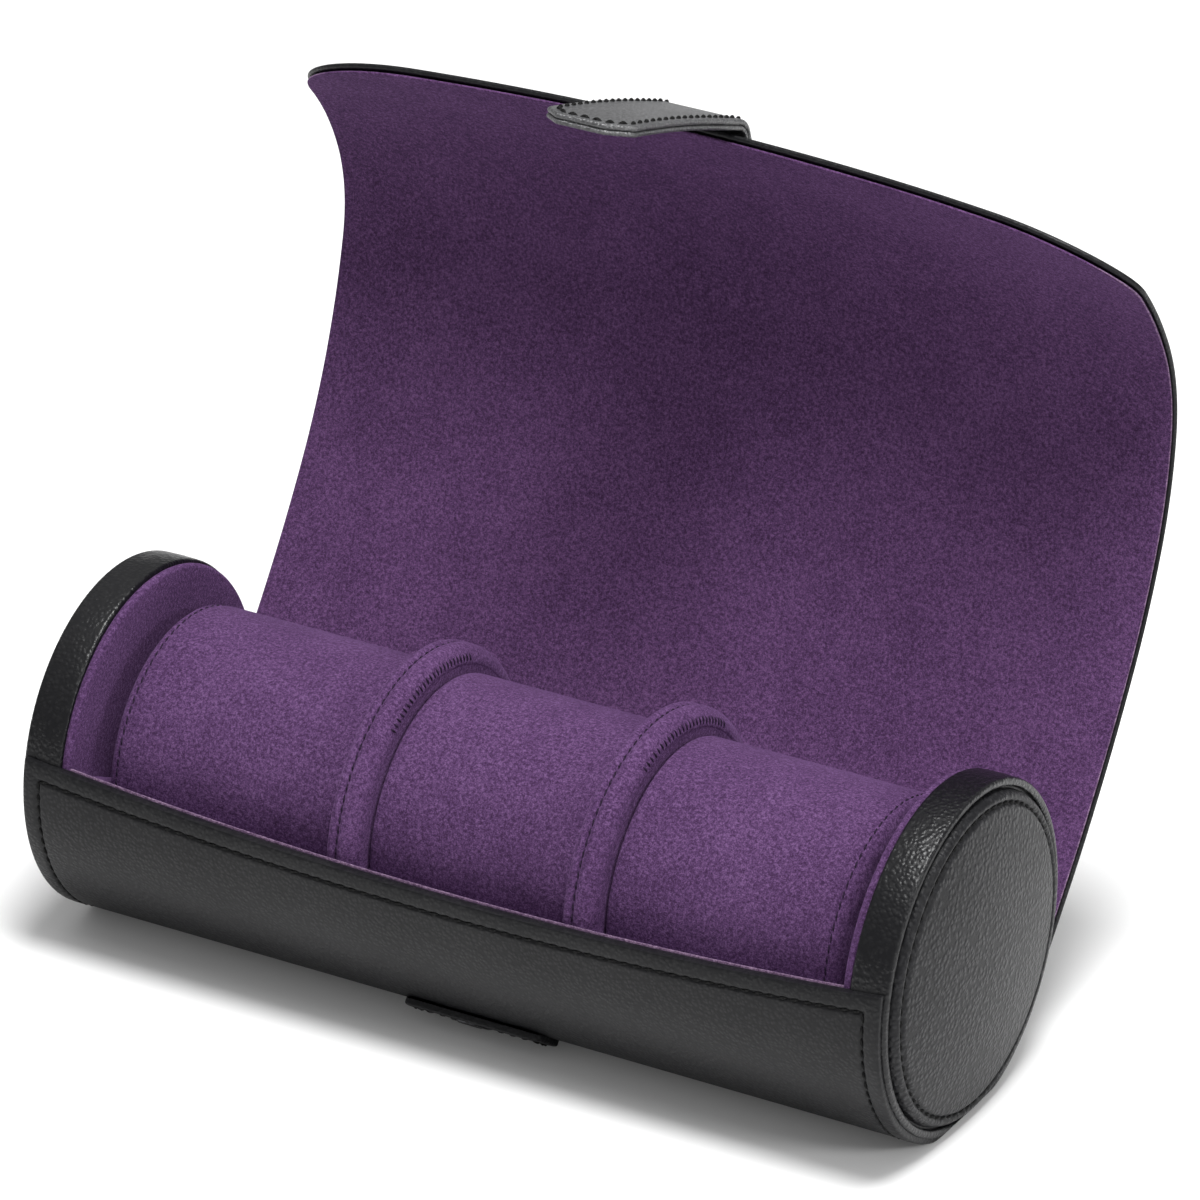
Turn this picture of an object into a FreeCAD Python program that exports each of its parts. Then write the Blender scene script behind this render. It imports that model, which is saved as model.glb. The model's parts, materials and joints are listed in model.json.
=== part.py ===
import FreeCAD, Part
import math
import os

# A roll for three watches: a stiff half-round tray with a drum at each end, padded dividers,
# lift-out cushions, and a soft lid that wraps over the top and snaps to the front of the tray.
# Millimetres. X runs along the roll, -Y is the front, Z is up.
# The origin is the middle of the flat base. Angles are degrees about the roll's axis, from +Y towards +Z.

# Whole roll
roll_length = 234.0
roll_radius = 45.0
base_width = 30.0
cut_overrun = 5.0

# Tray, from outside to inside
tray_leather_thickness = 1.5
tray_board_thickness = 1.6
tray_lining_thickness = 0.9
tray_back_angle = -42.0
lip_end_rise = 10.8
lip_middle_rise = 4.8

# Drum ends
drum_width = 10.0
drum_protrusion = 1.0
drum_leather_thickness = 1.3
drum_rim_width = 2.2
drum_rim_depth = 1.6
face_groove = 0.5
face_edge_thickness = 2.6
face_dome_rise = 2.0
liner_thickness = 2.4

# Dividers, a little to the right of the middle
divider_spacing = 64.6
divider_shift = 2.0
divider_width = 8.0
divider_rim_depth = 3.5
divider_edge_round = 2.8
divider_board_thickness = 4.0
divider_face_recess = 0.8

# Cushions
watch_gap = 6.0
cushion_floor_clearance = 0.3
cushion_side_clearance = 0.4
cushion_left_gap = 4.9
cushion_right_gap = 5.2
cushion_suede_thickness = 1.2
cushion_end_thickness = 1.6

# Lid, a sheet that is made in strips so that it can curl
lid_leather_thickness = 1.2
lid_lining_thickness = 1.0
lid_root_length = 15.0
lid_strip_length = 28.0
lid_fold_gap = 0.6
lid_turned_edge = 0.6
lid_corner_width = 36.0
lid_corner_height = 20.0
lid_root_side_clearance = 0.6
lid_rest_headings = (48.0, 50.0, 54.8, 59.3, 69.2, 81.3, 107.5, 129.5)

# Strap, sewn on the outside of the last strip, a little to the left of the middle
strap_width = 24.0
strap_shift = -2.8
strap_top_thickness = 1.5
strap_back_thickness = 1.3
strap_anchor_length = 24.0
strap_edge_overhang = 0.6
strap_link_length = 19.2
strap_fold_gap = 0.8
strap_end_chamfer = 5.5
strap_rest_headings = (152.0, 161.0, 171.0)

# Closure pad and press stud
pad_centre_angle = 235.45
pad_width = 38.0
pad_height = 13.0
pad_thickness = 1.8
socket_radius = 5.0
socket_hole_radius = 2.3
socket_seat_depth = 0.6
socket_stand = 0.7
rivet_radius = 1.4
stud_distance = 46.0
stud_flange_radius = 4.0
stud_flange_thickness = 0.5
stud_post_radius = 1.8
stud_post_height = 1.8
stud_nose_round = 0.7

# Sizes that follow
half_length = roll_length / 2
axis_height = math.sqrt(roll_radius ** 2 - (base_width / 2) ** 2)
inside_inset = tray_leather_thickness + tray_board_thickness + tray_lining_thickness
inside_radius = roll_radius - inside_inset
drum_end_x = half_length + drum_protrusion
drum_inner_x = drum_end_x - drum_width
drum_core_end = drum_end_x - drum_rim_depth
drum_core_inset = tray_leather_thickness + drum_leather_thickness
rim_hole_radius = roll_radius - tray_leather_thickness - drum_rim_width
face_radius = rim_hole_radius - face_groove
liner_inner_x = drum_inner_x - liner_thickness
divider_centres = (divider_shift - divider_spacing / 2, divider_shift + divider_spacing / 2)
divider_core_inset = inside_inset + divider_rim_depth
cushion_radius = inside_radius - watch_gap
cushion_drop = axis_height - inside_inset - cushion_floor_clearance - cushion_radius
lid_thickness = lid_leather_thickness + lid_lining_thickness
lid_strips = len(lid_rest_headings)
lid_length = lid_root_length + (lid_strips - 1) * lid_strip_length
strap_thickness = strap_top_thickness + strap_back_thickness
pad_radius = roll_radius + pad_thickness
reach = 2 * roll_radius + cut_overrun

X_AXIS = FreeCAD.Vector(1, 0, 0)
Y_AXIS = FreeCAD.Vector(0, 1, 0)
Z_AXIS = FreeCAD.Vector(0, 0, 1)


def about_axis(x, radius, angle):
    """The point at a radius and an angle about the roll's axis."""
    turn = math.radians(angle)
    return FreeCAD.Vector(x, radius * math.cos(turn), axis_height + radius * math.sin(turn))


def prism(points, push):
    """A solid from a closed flat outline of corner points, pushed along a vector."""
    outline = Part.makePolygon(list(points) + [points[0]])
    return Part.Face(outline).extrude(push)


def mirrored(shape):
    """The same piece at the other end of the roll."""
    return shape.mirror(FreeCAD.Vector(), X_AXIS)


def rod(radius, start, end):
    """A round rod on the roll's axis."""
    return Part.makeCylinder(radius, end - start, FreeCAD.Vector(start, 0, axis_height), X_AXIS)


def under_base(inset, start, end):
    """All that lies below the flat base once the base is set in."""
    corner = FreeCAD.Vector(start, -reach, inset - reach)
    return Part.makeBox(end - start, 2 * reach, reach, corner)


def section(inset, start, end):
    """The roll's round section with its flat base, set in all round."""
    return rod(roll_radius - inset, start, end).cut(under_base(inset, start, end))


def wedge(first_angle, last_angle, start, end):
    """The space between two angles about the axis, up to half a turn apart."""
    middle = (first_angle + last_angle) / 2
    corners = [FreeCAD.Vector(start, 0, axis_height)]
    for angle in (first_angle, middle, last_angle):
        corners.append(about_axis(start, reach, angle))
    return prism(corners, X_AXIS * (end - start))


# Tray
def lip_cut():
    """The space above the scooped front lip."""
    side = half_length + cut_overrun
    low_left = FreeCAD.Vector(-half_length, 0, axis_height + lip_end_rise)
    low_middle = FreeCAD.Vector(0, 0, axis_height + lip_middle_rise)
    low_right = FreeCAD.Vector(half_length, 0, axis_height + lip_end_rise)
    out_right = FreeCAD.Vector(side, 0, axis_height + lip_end_rise)
    out_left = FreeCAD.Vector(-side, 0, axis_height + lip_end_rise)
    top_right = FreeCAD.Vector(side, 0, axis_height + reach)
    top_left = FreeCAD.Vector(-side, 0, axis_height + reach)
    edges = [Part.Arc(low_left, low_middle, low_right).toShape()]
    corners = [low_right, out_right, top_right, top_left, out_left, low_left]
    for first, second in zip(corners, corners[1:]):
        edges.append(Part.makeLine(first, second))
    return Part.Face(Part.Wire(edges)).extrude(Y_AXIS * -reach)


def tray_layer(inset, thickness, half_width):
    """One layer of the tray's wall, open above from the lip to the back edge."""
    outer = section(inset, -half_width, half_width)
    inner = section(inset + thickness, -half_width, half_width)
    shell = outer.cut(inner)
    upright = 90.0
    shell = shell.cut(wedge(tray_back_angle, upright, -half_width, half_width))
    return shell.cut(lip_cut())


def tray_parts():
    board_inset = tray_leather_thickness
    lining_inset = tray_leather_thickness + tray_board_thickness
    return {
        "tray_leather": tray_layer(0, tray_leather_thickness, half_length),
        "tray_board": tray_layer(board_inset, tray_board_thickness, drum_inner_x),
        "tray_lining": tray_layer(lining_inset, tray_lining_thickness, drum_inner_x),
    }


# Drum ends
def face_panel():
    """The padded end panel, domed and standing a little proud of the drum's turned rim."""
    crown_x = drum_core_end + face_edge_thickness + face_dome_rise
    dome_radius = (face_radius ** 2 + face_dome_rise ** 2) / (2 * face_dome_rise)
    dome_centre = FreeCAD.Vector(crown_x - dome_radius, 0, axis_height)
    dome = Part.makeSphere(dome_radius, dome_centre)
    half_turn = 180
    dome.rotate(dome_centre, Z_AXIS, half_turn)
    return rod(face_radius, drum_core_end, crown_x).common(dome)


def drum_parts():
    core = section(drum_core_inset, drum_inner_x, drum_core_end)
    band = section(tray_leather_thickness, drum_inner_x, drum_end_x)
    band = band.cut(core).cut(rod(rim_hole_radius, drum_core_end, drum_end_x))
    right = {
        "drum_core": core,
        "drum_band": band,
        "face_panel": face_panel(),
        "drum_liner": section(inside_inset, liner_inner_x, drum_inner_x),
    }
    parts = {}
    for name, shape in right.items():
        parts["right_" + name] = shape
        parts["left_" + name] = mirrored(shape)
    return parts


# Dividers
def divider_parts(number, centre):
    """A board between two padded faces, with a padded rim round all three."""
    left = centre - divider_width / 2
    right = centre + divider_width / 2
    disc = rod(inside_radius, left, right)
    circles = [edge for edge in disc.Edges if isinstance(edge.Curve, Part.Circle)]
    rim = disc.makeFillet(divider_edge_round, circles)
    rim = rim.cut(section(divider_core_inset, left, right)).cut(under_base(inside_inset, left, right))
    board_left = centre - divider_board_thickness / 2
    board_right = centre + divider_board_thickness / 2
    name = f"divider_{number}_"
    return {
        name + "rim": rim,
        name + "board": section(divider_core_inset, board_left, board_right),
        name + "left_face": section(divider_core_inset, left + divider_face_recess, board_left),
        name + "right_face": section(divider_core_inset, board_right, right - divider_face_recess),
    }


# Cushions
def cushion_block(inset, start, end):
    """A round-topped block that reaches down to the tray's floor, set in all round."""
    radius = cushion_radius - inset
    low = axis_height - cushion_drop
    front_top = FreeCAD.Vector(start, -radius, axis_height)
    crown = FreeCAD.Vector(start, 0, axis_height + radius)
    back_top = FreeCAD.Vector(start, radius, axis_height)
    back_low = FreeCAD.Vector(start, radius, low)
    foot = FreeCAD.Vector(start, 0, low - radius)
    front_low = FreeCAD.Vector(start, -radius, low)
    edges = [
        Part.Arc(front_top, crown, back_top).toShape(),
        Part.makeLine(back_top, back_low),
        Part.Arc(back_low, foot, front_low).toShape(),
        Part.makeLine(front_low, front_top),
    ]
    return Part.Face(Part.Wire(edges)).extrude(X_AXIS * (end - start))


def cushion_parts(number, start, end):
    """A foam block in a suede sleeve that is closed by a disc at each end."""
    suede = cushion_suede_thickness
    foam_start = start + cushion_end_thickness
    foam_end = end - cushion_end_thickness
    name = f"cushion_{number}_"
    return {
        name + "sleeve": cushion_block(0, start, end).cut(cushion_block(suede, start, end)),
        name + "foam": cushion_block(suede, foam_start, foam_end),
        name + "left_end": cushion_block(suede, start, foam_start),
        name + "right_end": cushion_block(suede, foam_end, end),
    }


def cushion_spans():
    """Where each cushion starts and ends along the roll, from left to right."""
    left_divider, right_divider = divider_centres
    aside = divider_width / 2 + cushion_side_clearance
    return [
        (cushion_left_gap - liner_inner_x, left_divider - aside),
        (left_divider + aside, right_divider - aside),
        (right_divider + aside, liner_inner_x - cushion_right_gap),
    ]


# Lid
def heading_step(heading, length):
    """A step along a strip or strap link."""
    turn = math.radians(heading)
    return FreeCAD.Vector(0, length * math.cos(turn), length * math.sin(turn))


def outward_step(heading, length):
    """A step away from the lining side of a strip or strap link."""
    turn = math.radians(heading)
    return FreeCAD.Vector(0, length * math.sin(turn), -length * math.cos(turn))


def placed(shape, fold, heading):
    """A flat piece, drawn with its lining side up, moved to its fold line and heading."""
    moved = shape.copy()
    turn = FreeCAD.Rotation(X_AXIS, heading)
    moved.Placement = FreeCAD.Placement(fold, turn).multiply(moved.Placement)
    return moved


def lid_folds():
    """The fold line at the root of each strip, on the lining side, and the free edge last."""
    root = about_axis(0, roll_radius, tray_back_angle)
    folds = [root - outward_step(lid_rest_headings[0], lid_thickness)]
    for number, heading in enumerate(lid_rest_headings):
        length = lid_strip_length if number else lid_root_length
        folds.append(folds[-1] + heading_step(heading, length))
    return folds


def lid_blank(edge_inset, top, bottom):
    """The whole lid laid flat, with its lining side up and its free corners rounded."""
    side = half_length - edge_inset
    end = lid_length - edge_inset
    corner_width = lid_corner_width - edge_inset
    corner_height = lid_corner_height - edge_inset
    outline = Part.Ellipse(FreeCAD.Vector(), corner_width, corner_height)
    quarter = math.pi / 2
    right = Part.ArcOfEllipse(outline, 0, quarter).toShape()
    right.translate(FreeCAD.Vector(side - corner_width, end - corner_height, 0))
    left = Part.ArcOfEllipse(outline, quarter, 2 * quarter).toShape()
    left.translate(FreeCAD.Vector(corner_width - side, end - corner_height, 0))
    corners = [
        FreeCAD.Vector(-side, end - corner_height, 0),
        FreeCAD.Vector(-side, 0, 0),
        FreeCAD.Vector(side, 0, 0),
        FreeCAD.Vector(side, end - corner_height, 0),
    ]
    edges = [Part.makeLine(first, second) for first, second in zip(corners, corners[1:])]
    edges += [right, Part.makeLine(right.Vertexes[-1].Point, left.Vertexes[0].Point), left]
    blank = Part.Face(Part.Wire(Part.__sortEdges__(edges))).extrude(Z_AXIS * (bottom - top))
    blank.translate(Z_AXIS * top)
    return blank


def lid_band(number):
    """The stretch of the flat lid that a strip takes up, clear of its folds."""
    start = lid_root_length + (number - 1) * lid_strip_length if number else 0
    end = lid_root_length + number * lid_strip_length
    free_end = lid_fold_gap / 2 if number < lid_strips - 1 else -cut_overrun
    low = start + lid_fold_gap / 2
    corner = FreeCAD.Vector(-reach - half_length, low, -reach)
    return start, Part.makeBox(2 * (reach + half_length), end - free_end - low, 2 * reach, corner)


def lid_parts():
    folds = lid_folds()
    whole = lid_blank(0, 0, -lid_thickness)
    outer = lid_blank(0, -lid_lining_thickness, -lid_thickness)
    lining = lid_blank(lid_turned_edge, 0, -lid_lining_thickness)
    turned = whole.cut(lining)
    root_side = liner_inner_x - lid_root_side_clearance
    root_corner = FreeCAD.Vector(-root_side, 0, -lid_lining_thickness)
    root_lining = Part.makeBox(2 * root_side, lid_root_length, lid_lining_thickness, root_corner)
    parts = {}
    for number, heading in enumerate(lid_rest_headings):
        start, band = lid_band(number)
        leather = (turned if number else outer).common(band)
        suede = (lining if number else root_lining).common(band)
        for name, shape in (("lid_leather_", leather), ("lid_lining_", suede)):
            shape.translate(Y_AXIS * -start)
            parts[name + str(number + 1)] = placed(shape, folds[number], heading)
    return parts


# Strap
def strap_folds():
    """The fold line at the root of each strap link, on its back."""
    heading = lid_rest_headings[-1]
    edge = lid_folds()[-1]
    folds = [edge + outward_step(heading, lid_thickness) + heading_step(heading, strap_edge_overhang)]
    for heading in strap_rest_headings:
        folds.append(folds[-1] + heading_step(heading, strap_link_length))
    return folds


def strap_layer(start, end, top, bottom, chamfer):
    """One layer of a strap link laid flat, with its back up and its end corners cut."""
    left = strap_shift - strap_width / 2
    right = strap_shift + strap_width / 2
    corners = [
        FreeCAD.Vector(left, start, top),
        FreeCAD.Vector(right, start, top),
        FreeCAD.Vector(right, end - chamfer, top),
    ]
    if chamfer:
        corners.append(FreeCAD.Vector(right - chamfer, end, top))
        corners.append(FreeCAD.Vector(left + chamfer, end, top))
    corners.append(FreeCAD.Vector(left, end - chamfer, top))
    return prism(corners, Z_AXIS * (bottom - top))


def press_stud():
    """The stud under the strap: a flange and a post with a rounded nose."""
    flange = Part.makeCylinder(stud_flange_radius, stud_flange_thickness)
    post_length = stud_flange_thickness + stud_post_height
    post = Part.makeCylinder(stud_post_radius, post_length)
    tip = [edge for edge in post.Edges if edge.BoundBox.ZMin > post_length - stud_nose_round]
    return flange.fuse(post.makeFillet(stud_nose_round, tip)).removeSplitter()


def strap_parts():
    lid_heading = lid_rest_headings[-1]
    anchor_start = lid_strip_length - strap_anchor_length
    anchor_top = -lid_thickness
    anchor_bottom = -lid_thickness - strap_thickness
    anchor = strap_layer(anchor_start, lid_strip_length, anchor_top, anchor_bottom, 0)
    parts = {"strap_anchor": placed(anchor, lid_folds()[-2], lid_heading)}
    folds = strap_folds()
    last = len(strap_rest_headings) - 1
    for number, heading in enumerate(strap_rest_headings):
        start = strap_fold_gap / 2
        end = strap_link_length - (strap_fold_gap / 2 if number < last else 0)
        chamfer = 0 if number < last else strap_end_chamfer
        back = strap_layer(start, end, 0, -strap_back_thickness, chamfer)
        top = strap_layer(start, end, -strap_back_thickness, -strap_thickness, chamfer)
        parts[f"strap_back_{number + 1}"] = placed(back, folds[number], heading)
        parts[f"strap_top_{number + 1}"] = placed(top, folds[number], heading)
    stud_link = int(stud_distance // strap_link_length)
    stud = press_stud()
    stud.translate(FreeCAD.Vector(strap_shift, stud_distance - stud_link * strap_link_length, 0))
    parts["press_stud"] = placed(stud, folds[stud_link], strap_rest_headings[stud_link])
    return parts


# Closure pad
def pad_peg(radius, inner, outer):
    """A round peg that points straight out of the pad, in line with the strap."""
    root = about_axis(strap_shift, inner, pad_centre_angle)
    tip = about_axis(strap_shift, outer, pad_centre_angle)
    return Part.makeCylinder(radius, outer - inner, root, tip - root)


def closure_parts():
    half_angle = math.degrees(pad_height / 2 / roll_radius)
    side = pad_width / 2
    pad = rod(pad_radius, -side, side).cut(rod(roll_radius, -side, side))
    pad = pad.common(wedge(pad_centre_angle - half_angle, pad_centre_angle + half_angle, -side, side))
    seat = pad_radius - socket_seat_depth
    top = pad_radius + socket_stand
    socket = pad_peg(socket_radius, seat, top).cut(pad_peg(socket_hole_radius, seat, top))
    rivet = pad_peg(rivet_radius, roll_radius, seat)
    pad = pad.cut(pad_peg(socket_radius, seat, top)).cut(pad_peg(rivet_radius, 0, top))
    rivet = rivet.cut(rod(roll_radius, -side, side))
    return {"closure_pad": pad, "snap_socket": socket, "socket_rivet": rivet}


def all_parts():
    parts = {}
    parts.update(tray_parts())
    parts.update(drum_parts())
    for number, centre in enumerate(divider_centres, start=1):
        parts.update(divider_parts(number, centre))
    for number, (start, end) in enumerate(cushion_spans(), start=1):
        parts.update(cushion_parts(number, start, end))
    parts.update(lid_parts())
    parts.update(strap_parts())
    parts.update(closure_parts())
    return parts


os.makedirs("parts", exist_ok=True)
for node, solid in all_parts().items():
    solid.exportStep(f"parts/{node}.step")
    print(node, "valid" if solid.isValid() else "not valid", len(solid.Solids))
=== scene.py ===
import json
import math

import bmesh
import bpy
from mathutils import Matrix, Vector, noise


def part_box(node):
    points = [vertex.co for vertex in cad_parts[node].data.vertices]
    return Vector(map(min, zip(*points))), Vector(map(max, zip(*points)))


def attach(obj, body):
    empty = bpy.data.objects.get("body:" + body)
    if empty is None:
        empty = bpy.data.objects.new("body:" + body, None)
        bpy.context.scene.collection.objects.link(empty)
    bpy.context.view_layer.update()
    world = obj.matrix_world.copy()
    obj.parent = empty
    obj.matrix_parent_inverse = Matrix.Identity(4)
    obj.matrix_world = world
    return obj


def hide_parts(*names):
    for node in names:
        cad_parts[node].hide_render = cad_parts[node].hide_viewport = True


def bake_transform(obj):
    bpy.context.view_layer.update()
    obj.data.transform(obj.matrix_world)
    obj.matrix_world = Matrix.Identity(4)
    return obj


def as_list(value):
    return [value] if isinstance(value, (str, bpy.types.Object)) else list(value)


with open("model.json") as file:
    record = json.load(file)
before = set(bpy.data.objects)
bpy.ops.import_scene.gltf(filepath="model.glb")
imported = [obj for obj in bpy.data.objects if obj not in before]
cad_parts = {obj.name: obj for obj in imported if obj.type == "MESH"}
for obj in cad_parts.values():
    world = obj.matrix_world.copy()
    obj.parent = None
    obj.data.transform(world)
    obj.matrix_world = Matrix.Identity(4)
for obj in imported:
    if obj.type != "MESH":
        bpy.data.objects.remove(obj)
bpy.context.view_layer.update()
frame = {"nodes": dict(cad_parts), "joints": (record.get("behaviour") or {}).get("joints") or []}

# A watch roll: leather tray and lid, suede inside. Metres. X runs along the roll, -Y is the front, Z is up.
MM = 0.001

# Sizes from the frame
joint_at = {joint["name"]: Vector(joint["pos_m"]) for joint in frame["joints"] if "pos_m" in joint}
face_low, face_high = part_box("right_face_panel")
tray_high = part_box("tray_leather")[1]
band_low, band_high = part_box("right_drum_band")
core_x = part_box("right_drum_core")[1].x
liner_low, liner_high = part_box("right_drum_liner")
lining_half_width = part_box("tray_lining")[1].x
sleeve_low, sleeve_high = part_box("cushion_1_sleeve")
strap_low, strap_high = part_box("strap_top_1")
stud_low, stud_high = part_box("press_stud")
pad_low, pad_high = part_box("closure_pad")
socket_low, socket_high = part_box("snap_socket")
lid_root = joint_at["lid_hinge"]
axis_height = (face_low.z + face_high.z) / 2
half_length = tray_high.x
roll_radius = math.hypot(lid_root.y, lid_root.z - axis_height)
back_angle = 2 * math.pi + math.atan2(lid_root.z - axis_height, lid_root.y)
face_radius = (face_high.y - face_low.y) / 2
band_radius = (band_high.y - band_low.y) / 2
inside_radius = (liner_high.y - liner_low.y) / 2
lip_end_rise = tray_high.z - axis_height

# Tray
tray_leather_thickness = 1.5 * MM
tray_lining_depth = 3.1 * MM
tray_wall = roll_radius - inside_radius
tray_end_round = 0.5 * MM
tray_hem = 1.6 * MM
lip_middle_rise = 4.8 * MM
lip_turn_drop = 1.2 * MM
lip_edge_width = 0.55 * MM
flat_softness = 0.6 * MM
board_inset = 1.2 * MM
board_drop = 1.8 * MM
board_gap = 0.1 * MM
seam_inset = 4.4 * MM
seam_depth = 0.45 * MM
seam_half_width = 0.42 * MM
edge_crown = 0.14 * MM
seam_thread_share = 0.6
lip_fall_share = 0.2
lip_round_share = 0.6
# Depth and drop of the leather where it turns over the lip, and of the lining's edge
lip_turn_shares = ((1, 1), (1, 0.3), (0.95, 0.05), (0.84, -0.1), (0.62, -0.17), (0.4, -0.15), (0.2, -0.03))
lining_edge_shares = ((0.05, 1.4), (0.05, 0.1), (0.2, -0.35), (0.5, -0.5), (0.8, -0.35), (1, 0.1))
edge_shares = (0, 0.02, 0.06, 0.13, 0.24, 0.38, 0.52, 0.66, 0.78, 0.87, 0.94, 1, 1.06, 1.13, 1.22, 1.4, 1.7)

# Drum ends
band_round = 0.9 * MM
band_lining = 1.3 * MM
band_hem = 1.5 * MM
band_tuck = 0.25 * MM
band_crown = 0.12 * MM
liner_overlap = 1.7 * MM
liner_round = 1.1 * MM
liner_puff = 0.35 * MM
face_edge = 2.6 * MM
face_rise = 4.0 * MM
face_valley = 0.7 * MM
face_groove = 0.5 * MM
groove_floor = 0.25 * MM
face_stitch_lift = 0.1 * MM
face_seam_share = 0.929
face_valley_share = 0.016
face_roll_share = 0.958
face_hem_share = 0.9
face_dome_power = 2.2
# Rings of the face: wide apart up to the first share, close together from the second
face_ring_shares = (0.84, 0.85)
liner_face_shares = (0.1, 0.25, 0.5, 1)

# Dividers
divider_seam_inset = 2.7 * MM
divider_seam_depth = 0.7 * MM
divider_shoulder_width = 3.8 * MM
divider_shoulder_drop = 4.4 * MM
divider_face_inset = 4.6 * MM
divider_tuck = 0.1 * MM
divider_stitch_pitch = 2.6 * MM
divider_stitch_length = 0.8 * divider_stitch_pitch
divider_stitch_width = 0.5 * MM
divider_thread_share = 0.8
divider_face_shares = (1, 0.85, 0.6, 0.3, 0)
divider_seam_angles = (math.radians(-40), math.radians(220))
divider_shoulder_turn = math.radians(80)
whip_angles = {1: (68, 124), 2: (52, 112)}
whip_count = 24
whip_lean = math.radians(21)
whip_length = 2.0 * MM
whip_width = 0.55 * MM

# Cushions
cushion_seam_inset = 3.4 * MM
cushion_seam_dip = 0.5 * MM
cushion_round = 4.6 * MM
cushion_square_round = 0.7 * MM
cushion_start_inset = 0.4 * MM
cushion_end_inset = 0.1 * MM
cushion_swell = 1.3 * MM
cushion_held_reach = 0.3 * MM
cushion_drop = axis_height - sleeve_high.y - sleeve_low.z
cushion_columns = 96
cushion_cap_shares = (0.02, 0.25, 0.5, 0.75, 0.92)
cushion_round_shares = ((0, 1.0), (0.06, 0.72), (0.25, 0.4), (0.55, 0.13), (0.8, 0.02))
cushion_after_seam_shares = (1.25, 1.7)
cushion_square_shares = ((0, 1), (0.1, 0.55), (0.35, 0.2), (1, 0), (2.5, 0))
# Which ends of each cushion have a sewn ring: the first cushion's left end and the last one's right end
sewn_ends = {1: (True, False), 2: (False, False), 3: (False, True)}
ring_stitch_depth = 0.35 * MM
ring_stitch_pitch = 2.6 * MM
ring_stitch_length = 2.4 * MM
ring_stitch_width = 0.5 * MM
cloth_pressure = 4
cloth_quality = 6
cloth_frames = 20

# Lid
lid_thickness = 2.2 * MM
lid_leather_front = 1.1 * MM
lid_leather_back = 2.5 * MM
lid_leather_insets = (1.6 * MM, 4 * MM)
lid_lining_front = -0.15 * MM
lid_lining_edge_back = 0.5 * MM
lid_lining_inset = 0.5 * MM
# How far in from its edge the lining comes to lie against the leather
lid_lining_insets = ((0.9 * MM, 0), (1.7 * MM, 0.5), (2.5 * MM, 1), (4 * MM, 1))
lid_side_inset = 0.8 * MM
lid_root_gap = 0.6 * MM
lid_root_side = liner_low.x - lid_root_gap
lid_root_taper = 8 * MM
lid_seam_inset = 4.8 * MM
lid_stitch_depth = 0.1 * MM
lid_end_heading = math.radians(129.5)
lid_corner_width = 36 * MM
lid_corner_height = 20 * MM
lid_waves = 0.25 * MM
lid_wave_length = 45 * MM
lid_root_rows = 8
lid_span_rows = 20
lid_corner_rows = 26
lid_columns = 90
# How the last strips lean, in degrees: in the middle, more to the right than to the left, and at both sides
lid_leans = ((0.5, 4, 0), (0.3, 3, 8), (-0.9, -1, 8))
blend_share = 0.93
# Faces of the lining that look this much to the side are its cut edge
lid_edge_share = 0.5

# Strap
strap_middle = (strap_low.x + strap_high.x) / 2
strap_half_width = (strap_high.x - strap_low.x) / 2
strap_back_thickness = 1.3 * MM
strap_thickness = 2.8 * MM
strap_layer_share = 0.97
strap_flat_inset = 1.6 * MM
strap_headings = [math.radians(heading) for heading in (158.5, 161, 163.5)]
strap_crest_rise = 2.6 * MM
strap_crest_setback = 3.0 * MM
strap_bend_reach = 5.0 * MM
strap_anchor_reach = 24 * MM
strap_edge_overhang = 0.6 * MM
strap_end_chamfer = 5.5 * MM
strap_corner_round = 2.0 * MM
strap_seam_inset = 2.2 * MM
strap_stitch_width = 1.05 * MM
strap_rows = 14
strap_columns = 20
strap_bodies = ["lid_8", "lid_8", "strap_1", "strap_1", "strap_2", "strap_3", "strap_3"]

# Press stud, pad and socket; the profiles are heights in millimetres and shares of a radius
stud_flange_radius = 4.0 * MM
stud_post_radius = 1.8 * MM
stud_lift = 0.1 * MM
stud_flange_profile = ((0, 0), (0, 1), (0.25, 1), (0.45, 0.93))
stud_post_profile = ((0.6, 1.25), (0.9, 0.9), (1.3, 0.92), (1.6, 1.02), (1.9, 0.86), (2.1, 0.5), (2.15, 0))
socket_middle = (socket_low + socket_high) / 2
socket_radius = 5.0 * MM
socket_hole = 2.3 * MM
socket_rim_profile = ((-0.6, 1), (0.1, 1), (0.4, 0.96), (0.5, 0.86), (0.42, 0.75), (0.5, 0.64))
socket_hole_profile = ((0.68, 1.25), (0.6, 1.04), (0.3, 1), (-0.6, 1))
peg_segments = 48
pad_angle = 2 * math.pi + math.atan2(socket_middle.z - axis_height, socket_middle.y)
pad_height = 13 * MM
pad_thickness = 1.8 * MM
pad_lift = 0.7 * MM
pad_round = 3 * MM
pad_edge_round = 0.6 * MM
pad_crown = 0.1 * MM
pad_under = 0.02 * MM
pad_seam_inset = 2.2 * MM
pad_stitch_lift = 0.05 * MM
pad_lift_share = 0.55
pad_edge_shares = (0, 0.08, 0.3, 0.6, 1)
pad_face_shares = (0.25, 0.5, 0.75, 0.98)

# Stitches
stitch_pitch = 3.2 * MM
stitch_length = 2.7 * MM
stitch_width = 0.75 * MM
stitch_slant = math.radians(8)
stitch_shares = (0, 0.12, 0.3, 0.5, 0.7, 0.88, 1)
stitch_sides = 8
stitch_tip_share = 0.12
stitch_arch_share = 0.75
stitch_sink_share = 0.6

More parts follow.
